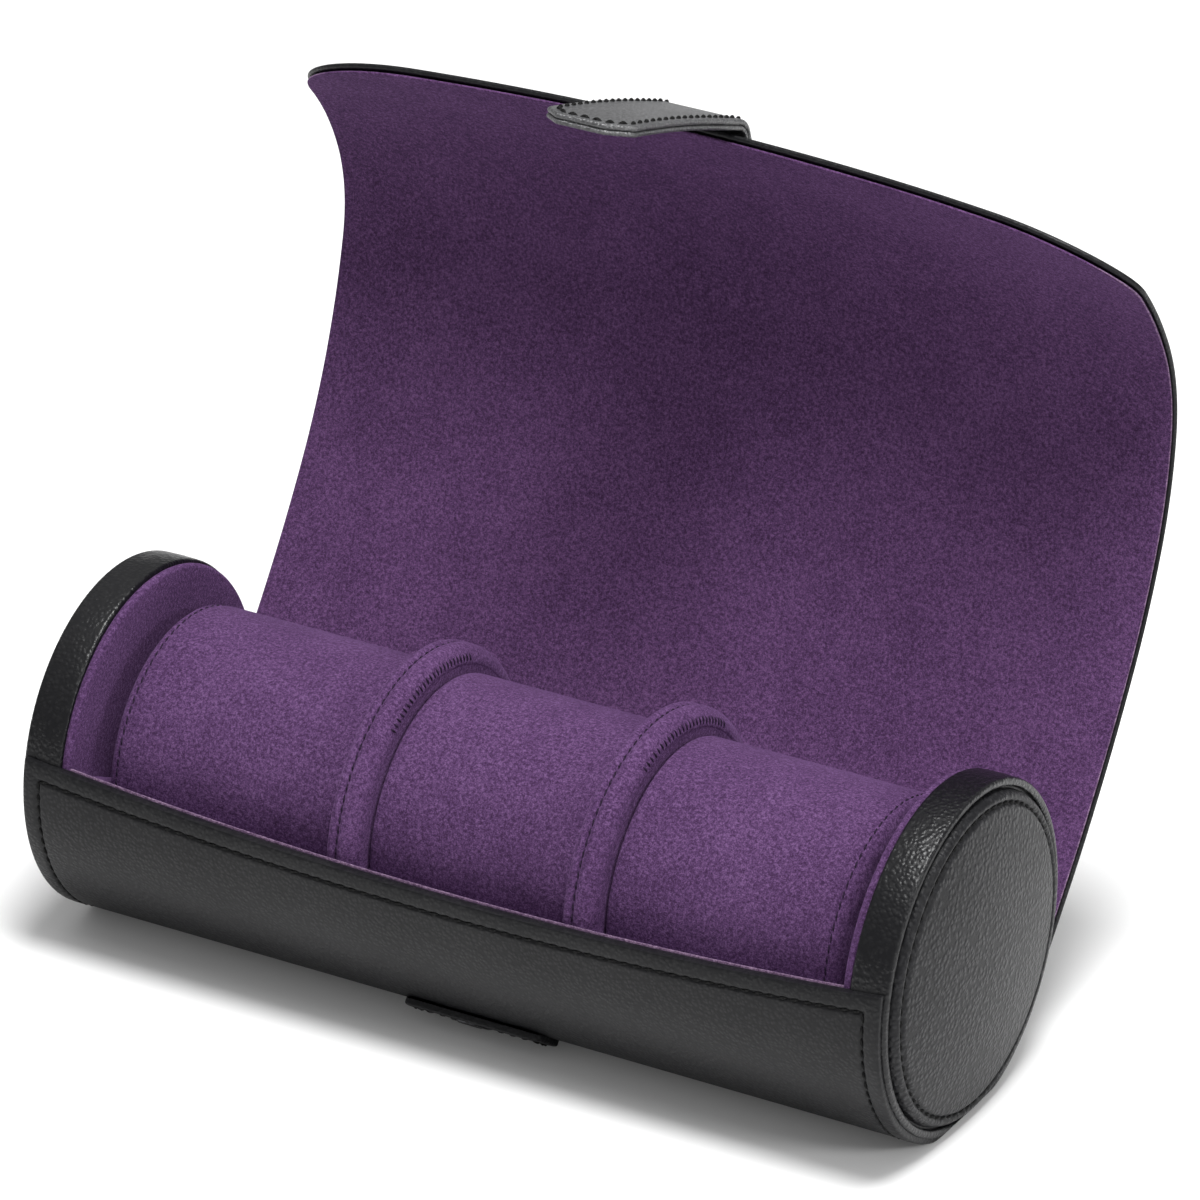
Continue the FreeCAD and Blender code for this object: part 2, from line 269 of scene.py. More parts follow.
# Meshes
ring_segments = 160
arc_steps = 5
round_steps = 6
shoulder_steps = 10
tray_middle_columns, tray_rows = 70, 60
board_columns, board_rows = 40, 50
lining_columns = 90
tray_seam_steps, tray_side_steps = 120, 60
face_middle_rings, face_border_rings = 26, 30
divider_left_steps, divider_right_steps, divider_seam_steps = 8, 4, 150
cushion_middle_rows = 16
ring_stitch_steps = 120
end_stitch_steps = 40
strap_search_steps = 400
weld = 0.002 * MM
crease_angle = math.radians(42)

# Suedes: dark, middle and light colour, and sheen
suedes = {
    "lid_suede": ((0.034, 0.015, 0.046), (0.076, 0.034, 0.097), (0.14, 0.069, 0.173), 0.12),
    "cushion_suede": ((0.03, 0.0128, 0.0405), (0.07, 0.0315, 0.0915), (0.137, 0.0715, 0.172), 0.15),
    "edge_suede": ((0.055, 0.03, 0.06), (0.125, 0.078, 0.133), (0.25, 0.17, 0.255), 0.3),
}
suede_sheen_tint = (0.6, 0.34, 0.76, 1)
suede_broad, suede_patch, suede_tuft, suede_fibre = 38 * MM, 12 * MM, 0.8 * MM, 0.36 * MM
suede_nap = 0.5 * MM
# Leathers: dark and light colour, pebble, relief, roughness and shine
leathers = {
    "black_leather": ((0.004, 0.004, 0.005), (0.012, 0.012, 0.013), 1.0 * MM, 0.35, 0.4, 0.22),
    "band_leather": ((0.003, 0.003, 0.004), (0.009, 0.009, 0.01), 1.1 * MM, 0.45, 0.3, 0.3),
    "face_leather": ((0.005, 0.005, 0.006), (0.015, 0.015, 0.017), 1.3 * MM, 0.8, 0.4, 0.2),
    # The strap is the same black leather as the rest: its grey colour is painted sheen, standing in for the
    # reflection of the overhead light on its top
    "strap_leather_painted_sheen": ((0.03, 0.03, 0.032), (0.11, 0.111, 0.115), 0.7 * MM, 0.6, 0.34, 0.85),
}
leather_broad = 25 * MM
leather_grain = 0.3 * MM
# Threads: dark and light colour, and roughness
threads = {
    "black_thread": ((0.001, 0.001, 0.001), (0.005, 0.005, 0.005), 0.75),
    "purple_thread": ((0.008, 0.003, 0.012), (0.024, 0.01, 0.034), 0.8),
}
thread_ply = 2.2 * MM
thread_relief = 0.15 * MM
# Metals: dark and light colour
metals = {
    "snap_metal": ((0.6, 0.6, 0.62), (0.82, 0.82, 0.84)),
    "dark_metal": ((0.03, 0.03, 0.033), (0.08, 0.08, 0.085)),
}
metal_wear = 0.9 * MM
board_dark, board_light = (0.22, 0.18, 0.14), (0.36, 0.31, 0.25)
board_lump = 1.2 * MM
board_relief = 0.3 * MM

# Stage
white = (1, 1, 1, 1)
floor_size = 8.0
floor_colour = (0.9, 0.9, 0.9, 1)
floor_glow = 0.04
sky_low, sky_high = 0.2, 0.6
# Lamps: place, size and power
lamps = {"key": ((0.2, -0.1, 1.4), 0.6, 25), "side": ((1.3, -0.2, 0.7), 0.3, 6)}
lamp_target = Vector((0, 0, 0.08))
camera_azimuth = math.radians(29.898)
camera_elevation = math.radians(27.125)
camera_distance = 2.07525
camera_target = Vector((0.01761, 0, 0.11076))
camera_lens = 265.4
camera_sensor = 36


# Mesh helpers
def spread(first, last, count):
    """Evenly spaced values from first to last."""
    return [first + (last - first) * step / count for step in range(count + 1)]


def smooth_step(share):
    share = min(1, max(0, share))
    return share * share * (3 - 2 * share)


def about_axis(x, radius, angle):
    """The point at a radius and an angle about the roll's axis."""
    return Vector((x, radius * math.cos(angle), axis_height + radius * math.sin(angle)))


def from_axis(point):
    """The point and the direction in which it lies from the roll's axis."""
    return point, (point - Vector((point.x, 0, axis_height))).normalized()


def held_up(point, low):
    """The point, kept above a low plane with a soft bend where the two meet."""
    above = point.z - low
    return Vector((point.x, point.y, low + (above + math.hypot(above, flat_softness)) / 2))


def skin(rows, ring=False):
    """The points and quads of a surface through rows of points; ring joins the ends of each row."""
    width = len(rows[0])
    points = [point for row in rows for point in row]
    faces = []
    for row in range(len(rows) - 1):
        for column in range(width if ring else width - 1):
            beside = (column + 1) % width
            first, second = row * width, (row + 1) * width
            faces.append((first + column, first + beside, second + beside, second + column))
    return points, faces


def capped(rings):
    """A skin through rings, with its first and last ring filled."""
    width = len(rings[0])
    points, faces = skin(rings, ring=True)
    return points, faces + [tuple(range(width)), tuple(range(len(points) - width, len(points)))]


def walled(rings):
    """The skins through rings that go out along a wall's face and back along the other, with both ends."""
    half = len(rings[0]) // 2
    ends = [skin([ring[:half], ring[half:][::-1]]) for ring in (rings[0], rings[-1])]
    return [skin(rings, ring=True)] + ends


def turned(profile, side=1, low=None):
    """A closed profile of (x, radius) turned about the roll's axis, with its underside held up if asked."""
    rows = []
    for angle in spread(0, 2 * math.pi, ring_segments):
        row = [about_axis(side * x, radius, angle) for x, radius in profile]
        rows.append(row if low is None else [held_up(point, low) for point in row])
    return skin(rows, ring=True)


def corner_arc(centre, radius, first, last, steps=arc_steps):
    """Points of an arc in a profile, between two angles in degrees."""
    turns = [math.radians(turn) for turn in spread(first, last, steps)]
    return [(centre[0] + radius * math.cos(turn), centre[1] + radius * math.sin(turn)) for turn in turns]


def make_piece(name, skins, material):
    """One object from several skins, welded where they meet, with smooth faces and crisp corners."""
    points, faces = [], []
    for skin_points, skin_faces in skins:
        offset = len(points)
        points += skin_points
        faces += [tuple(offset + corner for corner in face) for face in skin_faces]
    mesh = bpy.data.meshes.new(name)
    mesh.from_pydata(points, [], faces)
    work = bmesh.new()
    work.from_mesh(mesh)
    bmesh.ops.remove_doubles(work, verts=work.verts, dist=weld)
    bmesh.ops.recalc_face_normals(work, faces=work.faces)
    work.to_mesh(mesh)
    work.free()
    mesh.shade_smooth()
    mesh.set_sharp_from_angle(angle=crease_angle)
    mesh.materials.append(material)
    piece = bpy.data.objects.new(name, mesh)
    bpy.context.scene.collection.objects.link(piece)
    return piece


def finish_where(piece, material, chosen):
    """Gives the chosen faces of a piece a material of their own."""
    piece.data.materials.append(material)
    for face in piece.data.polygons:
        if chosen(face):
            face.material_index = 1


def on_body(piece, body, slot, *nodes):
    """The piece rides on a body and stands for CAD nodes, which it hides; the slot is not used."""
    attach(piece, body)
    if nodes:
        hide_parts(*nodes)
    return piece


# Materials
def new_material(name):
    material = bpy.data.materials.new(name)
    material.use_nodes = True
    tree = material.node_tree
    return material, tree, tree.nodes["Principled BSDF"]


def feed(tree, target, inputs):
    """Sets a node's inputs: a list of a node and its output is linked, anything else is a fixed value."""
    for entry, value in inputs.items():
        if isinstance(value, list):
            source, output = value
            tree.links.new(source.outputs[output], target.inputs[entry])
        else:
            target.inputs[entry].default_value = value


def node(tree, kind, inputs, **settings):
    """A shader node with its settings and inputs."""
    made = tree.nodes.new("ShaderNode" + kind)
    for key, value in settings.items():
        setattr(made, key, value)
    feed(tree, made, inputs)
    return made


def object_place(tree):
    return [node(tree, "TexCoord", {}), "Object"]


def noise_field(tree, place, size, detail, roughness=0.5):
    """A noise whose lumps are about one size across, from 0 to 1."""
    inputs = {"Vector": place, "Scale": 1 / size, "Detail": detail, "Roughness": roughness}
    return [node(tree, "TexNoise", inputs), "Fac"]


def sum_of(tree, *terms):
    """The sum of node outputs, each times its weight."""
    total = 0
    for source, weight in terms:
        total = [node(tree, "Math", {0: source, 1: weight, 2: total}, operation="MULTIPLY_ADD"), "Value"]
    return total


def ramp(tree, source, stops):
    """A colour ramp from (position, colour) stops."""
    made = node(tree, "ValToRGB", {"Fac": source})
    elements = made.color_ramp.elements
    while len(elements) < len(stops):
        elements.new(0.5)
    for element, (position, colour) in zip(elements, stops):
        element.position = position
        element.color = (*colour, 1)
    return [made, "Color"]


def bump(tree, height, strength, relief):
    return [node(tree, "Bump", {"Height": height, "Strength": strength, "Distance": relief}), "Normal"]


def suede(name, dark, middle, light, sheen):
    """Short-napped suede: broad brushed patches, fine fibre grain and a soft sheen."""
    material, tree, shader = new_material(name)
    place = object_place(tree)
    broad = noise_field(tree, place, suede_broad, 2)
    patch = noise_field(tree, place, suede_patch, 3)
    tuft = noise_field(tree, place, suede_tuft, 3, 0.65)
    fibre = noise_field(tree, place, suede_fibre, 3, 0.7)
    mix = sum_of(tree, (broad, 0.06), (patch, 0.06), (tuft, 0.44), (fibre, 0.44))
    nap = sum_of(tree, (tuft, 0.5), (fibre, 0.5))
    feed(tree, shader, {
        "Base Color": ramp(tree, mix, [(0.4, dark), (0.5, middle), (0.6, light)]),
        "Normal": bump(tree, nap, 0.7, suede_nap),
        "Roughness": 0.95,
        "Specular IOR Level": 0.1,
        "Sheen Weight": sheen,
        "Sheen Roughness": 0.45,
        "Sheen Tint": suede_sheen_tint,
    })
    return material


def leather(name, dark, light, pebble, relief, roughness, shine):
    """Black calf with a pebbled grain: rounded pebbles between fine creases."""
    material, tree, shader = new_material(name)
    place = object_place(tree)
    drift = noise_field(tree, place, 2.2 * pebble, 2)[0]
    reach = (0.9 * pebble,) * 3
    shift = node(tree, "VectorMath", {0: [drift, "Color"], 1: reach, 2: place}, operation="MULTIPLY_ADD")
    grain = {"Vector": [shift, "Vector"], "Scale": 1 / pebble, "Smoothness": 0.35}
    cells = node(tree, "TexVoronoi", grain, feature="SMOOTH_F1")
    domes = {"Value": [cells, "Distance"], "From Min": 0.75, "From Max": 0.05}
    rounded = [node(tree, "MapRange", domes, interpolation_type="SMOOTHSTEP"), "Result"]
    fine = noise_field(tree, place, 0.25 * pebble, 3, 0.6)
    broad = noise_field(tree, place, leather_broad, 2)
    height = sum_of(tree, (rounded, 0.8), (fine, 0.3))
    # The colour is partly painted shade, darker in the creases between the pebbles and lighter on their
    # tops, and partly a random drift of tone over broad patches and fine specks
    shade = sum_of(tree, (rounded, 0.45), (broad, 0.4), (fine, 0.15))
    gloss = node(tree, "MapRange", {"Value": shade, "To Min": roughness + 0.1, "To Max": roughness - 0.08})
    feed(tree, shader, {
        "Base Color": ramp(tree, shade, [(0.2, dark), (0.8, light)]),
        "Roughness": [gloss, "Result"],
        "Normal": bump(tree, height, relief, leather_grain),
        "Specular IOR Level": shine,
    })
    return material


def thread(name, dark, light, roughness):
    """Twisted sewing thread."""
    material, tree, shader = new_material(name)
    twist = {"Vector": object_place(tree), "Scale": 1 / thread_ply, "Distortion": 1.5}
    ply = [node(tree, "TexWave", twist, bands_direction="DIAGONAL"), "Fac"]
    feed(tree, shader, {
        "Base Color": ramp(tree, ply, [(0.2, dark), (0.9, light)]),
        "Normal": bump(tree, ply, 0.5, thread_relief),
        "Roughness": roughness,
        "Specular IOR Level": 0.2,
    })
    return material


def nickel(name, dark, light):
    """Plated snap metal with faint wear."""
    material, tree, shader = new_material(name)
    wear = noise_field(tree, object_place(tree), metal_wear, 4, 0.65)
    gloss = node(tree, "MapRange", {"Value": wear, "To Min": 0.12, "To Max": 0.3})
    feed(tree, shader, {
        "Base Color": ramp(tree, wear, [(0.3, dark), (0.7, light)]),
        "Roughness": [gloss, "Result"],
        "Metallic": 1,
    })
    return material


def fibre_board(name, dark, light):
    """Greyboard inside the covers."""
    material, tree, shader = new_material(name)
    field = noise_field(tree, object_place(tree), board_lump, 5, 0.7)
    feed(tree, shader, {
        "Base Color": ramp(tree, field, [(0.3, dark), (0.7, light)]),
        "Normal": bump(tree, field, 0.4, board_relief),
        "Roughness": 0.9,
    })
    return material


lid_suede, cushion_suede, edge_suede = (suede(name, *look) for name, look in suedes.items())
black_leather, band_leather, face_leather, strap_leather_painted_sheen = (
    leather(name, *look) for name, look in leathers.items())
black_thread, purple_thread = (thread(name, *look) for name, look in threads.items())
snap_metal, dark_metal = (nickel(name, *look) for name, look in metals.items())
board = fibre_board("board", board_dark, board_light)


# Stitches
def one_stitch(place, along, up, length, width):
    """A short arched thread whose ends sink into the leather."""
    aside = up.cross(along).normalized()
    lean = along + aside * math.tan(stitch_slant)
    rows = []
    for share in stitch_shares:
        swell = math.sin(math.pi * (stitch_tip_share + (1 - 2 * stitch_tip_share) * share))
        rise = width * (stitch_arch_share * swell - stitch_sink_share)
        centre = place + lean * (length * (share - 0.5)) + up * rise
        row = []
        for side in range(stitch_sides):
            turn = 2 * math.pi * side / stitch_sides
            row.append(centre + (aside * math.cos(turn) + up * math.sin(turn)) * (width / 2 * swell))
        rows.append(row)
    return capped(rows)


def stitch_run(path, pitch=stitch_pitch, length=stitch_length, width=stitch_width, closed=False):
    """Stitches evenly spaced along a path of (point, outward direction)."""
    path = list(path) + ([path[0]] if closed else [])
    lengths = [(b[0] - a[0]).length for a, b in zip(path, path[1:])]
    count = max(1, round(sum(lengths) / pitch))
    gap = sum(lengths) / count
    stitches, index, before = [], 0, 0.0
    for number in range(count):
        reach = gap * (number + 0.5)
        while index < len(lengths) - 1 and before + lengths[index] < reach:
            before += lengths[index]
            index += 1
        share = (reach - before) / lengths[index]
        (start, start_up), (end, end_up) = path[index], path[index + 1]
        up = start_up.lerp(end_up, share).normalized()
        stitches.append(one_stitch(start.lerp(end, share), (end - start).normalized(), up, length, width))
    return stitches


# Tray
def lip_angle(x):
    """Where the scooped lip lies round the roll."""
    scoop = lip_end_rise - lip_middle_rise
    sweep = (half_length ** 2 + scoop ** 2) / (2 * scoop)
    rise = lip_middle_rise + sweep - math.sqrt(sweep ** 2 - x ** 2)
    return math.pi - math.asin(rise / roll_radius)


def wall_point(x, below_lip, depth):
    """A point of the tray's wall at a distance below its lip and a depth under its outer face."""
    angle = lip_angle(x) + below_lip / roll_radius
    return held_up(about_axis(x, roll_radius - depth, angle), depth)


def wall_length(x):
    """The distance from the lip round to the back edge."""
    return (back_angle - lip_angle(x)) * roll_radius


def seam_dip(distance):
    """How deep the leather is pulled in beside a row of stitches, and how it crowns at its edge."""
    off = (distance - seam_inset) / seam_half_width
    crown = math.sin(math.pi * min(1, distance / seam_inset)) if distance > 0 else 0
    return seam_depth * math.exp(-off * off) - edge_crown * crown


def tray_columns(half_width, steps):
    """Places along the roll, close together at both ends."""
    middle = spread(-half_width + steps[-1], half_width - steps[-1], tray_middle_columns)
    left = [-half_width + step for step in steps[:-1]]
    return left + middle + [-x for x in reversed(left)]


def end_round(distance):
    """How far a turned edge falls away near its end."""
    short = max(0, tray_end_round - distance)
    return tray_end_round - math.sqrt(tray_end_round ** 2 - short ** 2)


def tray_leather():
    """The cover: turned over the lip, sewn along the lip and both ends."""
    steps = [seam_inset * share for share in edge_shares]
    rings = []
    for x in tray_columns(half_length, steps):
        aside = half_length - abs(x)
        fall = end_round(aside)
        outer = []
        for depth_share, drop_share in lip_turn_shares:
            depth = depth_share * tray_lining_depth + fall * lip_fall_share
            outer.append(wall_point(x, drop_share * lip_turn_drop, depth))
        distances = steps[1:] + spread(steps[-1], wall_length(x), tray_rows)[1:]
        for distance in distances:
            dip = seam_dip(min(distance, aside)) + end_round(distance) * lip_round_share
            outer.append(wall_point(x, distance, dip + fall))
        inner = []
        for number in range(len(outer)):
            distance = distances[max(0, number - len(lip_turn_shares))]
            inner.append(wall_point(x, max(distance, tray_hem + number * weld), tray_leather_thickness))
        rings.append(outer + inner[::-1])
    on_body(make_piece("tray_cover", walled(rings), black_leather), "case", "leather", "tray_leather")


def tray_board():
    """The stiff board between leather and lining, its edge held below the turned lip."""
    rings = []
    for x in spread(-half_length + board_inset, half_length - board_inset, board_columns):
        distances = spread(board_drop, wall_length(x), board_rows)
        outer = [wall_point(x, distance, tray_leather_thickness + board_gap) for distance in distances]
        inner = [wall_point(x, distance, tray_lining_depth - board_gap) for distance in distances]
        rings.append(outer + inner[::-1])
    on_body(make_piece("tray_stiffener", walled(rings), board), "case", "board", "tray_board")


def tray_lining():
    """The suede inside the tray, with its cut edge just showing along the lip."""
    thin = tray_wall - tray_lining_depth
    rings = []
    for x in spread(-lining_half_width, lining_half_width, lining_columns):
        row = []
        for depth_share, drop_share in lining_edge_shares:
            row.append(wall_point(x, drop_share * thin, tray_lining_depth + depth_share * thin))
        distances = spread(thin, wall_length(x), tray_rows)
        row += [wall_point(x, distance, tray_wall) for distance in distances]
        row.append(wall_point(x, wall_length(x), tray_lining_depth + lining_edge_shares[0][0] * thin))
        rings.append(row)
    piece = make_piece("tray_inside", [skin(rings, ring=True)], cushion_suede)
    on_body(piece, "case", "cushion_suede", "tray_lining")

    def along_lip(face):
        angle = math.atan2(face.center.z - axis_height, face.center.y) % (2 * math.pi)
        return abs(angle - lip_angle(face.center.x)) * roll_radius < lip_edge_width

    finish_where(piece, edge_suede, along_lip)


def tray_seams():
    """The row of stitches along the lip and down both ends."""
    thread_depth = seam_depth * seam_thread_share
    side = half_length - seam_inset
    lip = spread(-side, side, tray_seam_steps)
    stitches = stitch_run([from_axis(wall_point(x, seam_inset, thread_depth)) for x in lip])
    for x in (-side, side):
        distances = spread(seam_inset, wall_length(x) - stitch_pitch / 2, tray_side_steps)
        stitches += stitch_run([from_axis(wall_point(x, distance, thread_depth)) for distance in distances])
    on_body(make_piece("tray_stitches", stitches, black_thread), "case", "leather")


# Drum ends
def drum_end(side):
    """One end of the roll: leather band, stitched face panel and suede liner."""
    name = "right" if side > 0 else "left"
    on_body(drum_band(name, side), "case", "leather", f"{name}_drum_band")
    on_body(drum_face(name, side), "case", "face_leather", f"{name}_face_panel")
    on_body(face_stitches(name, side), "case", "leather")
    on_body(drum_liner(name, side), "case", "cushion_suede", f"{name}_drum_liner")


def drum_band(name, side):
    inner_x, outer_x = band_low.x, band_high.x
    rim_hole = face_radius + face_groove
    lining_radius = band_radius - band_lining
    hem_radius = inside_radius - band_hem
    top = band_radius - band_round
    end = outer_x - band_round
    tucked, edge = inner_x + band_tuck, inner_x - band_tuck
    band = [(tucked, lining_radius), (tucked, hem_radius), (edge, hem_radius)]
    band += corner_arc((edge + band_round, top), band_round, 180, 90)
    band.append(((inner_x + outer_x) / 2, band_radius + band_crown))
    band += corner_arc((end, top), band_round, 90, 0)
    band += corner_arc((end, rim_hole + band_round), band_round, 0, -90)
    band += [(core_x, rim_hole), (core_x, lining_radius)]
    return make_piece(f"{name}_band", [turned(band, side, tray_leather_thickness)], band_leather)


def drum_liner(name, side):
    radius = inside_radius + liner_overlap
    top = radius - liner_round
    liner = [(liner_high.x, 0), (liner_high.x, top)]
    liner += corner_arc((liner_high.x - liner_round, top), liner_round, 0, 90)
    liner += corner_arc((liner_low.x + liner_round, top), liner_round, 90, 180)
    liner += [(liner_low.x - liner_puff * share, radius * (1 - share)) for share in liner_face_shares]
    return make_piece(f"{name}_liner", [turned(liner, side, tray_wall)], cushion_suede)


def face_height(radius):
    """The height of the face panel over the drum's core: a rolled border, a sewn valley and a low dome."""
    edge_share = radius / face_radius
    dome = face_edge + face_rise * (1 - edge_share ** face_dome_power)
    valley = face_valley * math.exp(-((edge_share - face_seam_share) / face_valley_share) ** 2)
    roll = math.sqrt(max(0, 1 - max(0, (edge_share - face_roll_share) / (1 - face_roll_share)) ** 2))
    return (dome - valley) * roll


def drum_face(name, side):
    wide, close = (share * face_radius for share in face_ring_shares)
    radii = spread(0, wide, face_middle_rings) + spread(close, face_radius, face_border_rings)
    profile = [(core_x + face_height(radius), radius) for radius in radii]
    hem = face_radius + face_hem_share * face_groove
    floor_x = core_x + groove_floor
    profile += [(floor_x, face_radius), (floor_x, hem), (core_x, hem), (core_x, 0)]
    return make_piece(f"{name}_face", [turned(profile, side)], face_leather)


def face_stitches(name, side):
    radius = face_seam_share * face_radius
    x = side * (core_x + face_height(radius) + face_stitch_lift)
    outward = Vector((side, 0, 0))
    path = [(about_axis(x, radius, angle), outward) for angle in spread(0, 2 * math.pi, ring_segments)[:-1]]
    return make_piece(f"{name}_face_stitches", stitch_run(path, closed=True), black_thread)


# Dividers
def divider(number):
    """A padded divider: a rim in two rolls beside a seam, and two padded faces."""
    name = f"divider_{number}"
    low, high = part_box(f"{name}_rim")
    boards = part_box(f"{name}_board")
    left, right = low.x, high.x
    face_edge_radius = inside_radius - divider_face_inset
    seam_x = left + divider_seam_inset
    small = divider_seam_inset / 2
    rim = [(left + divider_tuck, face_edge_radius)]
    rim += corner_arc((left + small, inside_radius - small), small, 180, 40, divider_left_steps)
    rim.append((seam_x, inside_radius - divider_seam_depth))
    rim += corner_arc((seam_x + small, inside_radius - small), small, 140, 90, divider_right_steps)
    rim += [shoulder(right, turn) for turn in spread(divider_shoulder_turn, 0, shoulder_steps)]
    rim.append((right - divider_tuck, face_edge_radius))
    piece = make_piece(f"{name}_roll", [turned(rim, low=tray_wall)], cushion_suede)
    on_body(piece, "case", "cushion_suede", f"{name}_rim")
    for face_side, face_x, corner in (("left", left + divider_tuck, 0), ("right", right - divider_tuck, 1)):
        board_x = boards[corner].x
        profile = [(board_x, 0), (board_x, face_edge_radius)]
        profile += [(face_x, face_edge_radius * share) for share in divider_face_shares]
        piece = make_piece(f"{name}_{face_side}_pad", [turned(profile, low=tray_wall)], cushion_suede)
        on_body(piece, "case", "cushion_suede", f"{name}_{face_side}_face")
    thread_radius = inside_radius - divider_seam_depth * divider_thread_share
    angles = spread(*divider_seam_angles, divider_seam_steps)
    seam = [from_axis(about_axis(seam_x, thread_radius, angle)) for angle in angles]
    stitches = stitch_run(seam, divider_stitch_pitch, divider_stitch_length, divider_stitch_width)
    stitches += whip_stitches(number, right)
    on_body(make_piece(f"{name}_stitches", stitches, purple_thread), "case", "cushion_suede")


def shoulder(right, turn):
    """The (x, radius) of a divider's rounded right shoulder, turned up from its side."""
    x = right - divider_shoulder_width * (1 - math.cos(turn))
    return x, inside_radius - divider_shoulder_drop * (1 - math.sin(turn))


def whip_stitches(number, right):
    """Short strokes over the shoulder of a divider, where its cover is sewn shut."""
    x, radius = shoulder(right, whip_lean)
    first, last = whip_angles[number]
    stitches = []
    for angle in spread(math.radians(first), math.radians(last), whip_count):
        outward = Vector((0, math.cos(angle), math.sin(angle)))
        along = outward * math.cos(whip_lean) - Vector((math.sin(whip_lean), 0, 0))
        up = outward * math.sin(whip_lean) + Vector((math.cos(whip_lean), 0, 0))
        stitches.append(one_stitch(about_axis(x, radius, angle), along, up, whip_length, whip_width))
    return stitches


# Cushions
def cushion_section(inset, count):
    """The round-topped section of a cushion, set in all round: points of (y, z)."""
    radius = sleeve_high.y - inset
    points = []
    for angle in spread(0, 2 * math.pi, count)[:-1]:
        z = axis_height + radius * math.sin(angle) - (cushion_drop if math.sin(angle) < 0 else 0)
        points.append((radius * math.cos(angle), z))
    return points


def cushion_end(sewn):
    """(step, inset) from an end of a cushion inwards: rounded with a sewn ring, or nearly square."""
    if not sewn:
        size = cushion_square_round
        return [(size * share, size * inset) for share, inset in cushion_square_shares]
    steps = [(cushion_seam_inset * share, cushion_round * inset) for share, inset in cushion_round_shares]
    steps.append((cushion_seam_inset, cushion_seam_dip))
    return steps + [(cushion_seam_inset * share, 0) for share in cushion_after_seam_shares]


def cushion_stations(start, end, sewn):
    """(x, inset) along a cushion from end to end."""
    near, far = cushion_end(sewn[0]), cushion_end(sewn[1])
    stations = [(start + step, inset) for step, inset in near]
    stations += [(x, 0) for x in spread(start + near[-1][0], end - far[-1][0], cushion_middle_rows)[1:-1]]
    return stations + [(end - step, inset) for step, inset in reversed(far)]


def cushion_row(x, inset, share=1):
    """A ring of a cushion, drawn in to a share of its size for the rings of its end."""
    section = cushion_section(cushion_start_inset + inset, cushion_columns)
    return [Vector((x, y * share, axis_height + (z - axis_height) * share)) for y, z in section]


def cushion(number):
    """A foam cushion in a suede sleeve, puffed between its seams by a cloth simulation."""
    name = f"cushion_{number}"
    low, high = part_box(f"{name}_sleeve")
    start, end = low.x + cushion_end_inset, high.x - cushion_end_inset
    stations = cushion_stations(start, end, sewn_ends[number])
    rows = [cushion_row(start, stations[0][1], share) for share in cushion_cap_shares]
    rows += [cushion_row(x, inset) for x, inset in stations]
    rows += [cushion_row(end, stations[-1][1], share) for share in reversed(cushion_cap_shares)]
    piece = make_piece(f"{name}_cover", [capped(rows)], cushion_suede)
    rings, held = [], []
    for edge, inward, sewn in zip((start, end), (1, -1), sewn_ends[number]):
        if sewn:
            rings.append(edge + inward * cushion_seam_inset)
        else:
            held.append(edge)
    puff_up(piece, rings + held)
    keep_inside(piece, low, high)
    finer = piece.modifiers.new("finer", "SUBSURF")
    finer.levels = finer.render_levels = 1
    nodes = [f"{name}_{part}" for part in ("foam", "sleeve", "left_end", "right_end")]
    on_body(piece, name, "cushion_suede", *nodes)
    if rings:
        ring_stitches(name, rings)


def puff_up(piece, seams):
    """Cloth simulation: the cover fills out under pressure while its seams stay put."""
    rest = [vertex.co.copy() for vertex in piece.data.vertices]
    held = piece.vertex_groups.new(name="held")
    near = [v.index for v in piece.data.vertices if min(abs(v.co.x - x) for x in seams) < cushion_held_reach]
    held.add(near, 1, "REPLACE")
    cloth = piece.modifiers.new("cloth", "CLOTH")
    cloth.settings.vertex_group_mass = "held"
    cloth.settings.use_pressure = True
    cloth.settings.uniform_pressure_force = cloth_pressure
    cloth.settings.effector_weights.gravity = 0
    cloth.settings.quality = cloth_quality
    scene = bpy.context.scene
    for number in range(cloth_frames):
        scene.frame_set(number + 1)
    depsgraph = bpy.context.evaluated_depsgraph_get()
    puffed = [v.co.copy() for v in piece.evaluated_get(depsgraph).data.vertices]
    piece.modifiers.remove(cloth)
    piece.vertex_groups.remove(held)
    scene.frame_set(1)
    for vertex, before, after in zip(piece.data.vertices, rest, puffed):
        move = after - before
        vertex.co = before + move * min(1, cushion_swell / max(move.length, weld))


def keep_inside(piece, low, high):
    """Holds the cover within the space of its solid."""
    for vertex in piece.data.vertices:
        x, y, z = vertex.co
        centre_z = axis_height if z > axis_height else max(z, axis_height - cushion_drop)
        arm = Vector((0, y, z - centre_z))
        if arm.length > high.y:
            arm *= high.y / arm.length
        vertex.co = (min(high.x, max(low.x, x)), arm.y, centre_z + arm.z)


def ring_stitches(name, seams):
    """A fine row of stitches in each sewn ring of a cushion."""
    section = cushion_section(cushion_start_inset + ring_stitch_depth, ring_stitch_steps)
    stitches = []
    for x in seams:
        path = [from_axis(Vector((x, y, z))) for y, z in section]
        stitches += stitch_run(path, ring_stitch_pitch, ring_stitch_length, ring_stitch_width, closed=True)
    on_body(make_piece(f"{name}_stitches", stitches, purple_thread), name, "cushion_suede")


# Sheets: the lid and the strap follow a smooth curve through their folds
def curve_spans(points):
    """Spans of a smooth curve that touches the middle of each run between the points."""
    middles = [(a + b) / 2 for a, b in zip(points, points[1:])]
    spans = [(points[0], (points[0] + middles[0]) / 2, middles[0])]
    spans += list(zip(middles, points[1:], middles[1:]))
    spans.append((middles[-1], (middles[-1] + points[-1]) / 2, points[-1]))
    return spans


def span_lengths(spans):
    return [(b - a).length + (c - b).length for a, b, c in spans]


def span_starts(spans):
    starts = [0]
    for length in span_lengths(spans):
        starts.append(starts[-1] + length)
    return starts


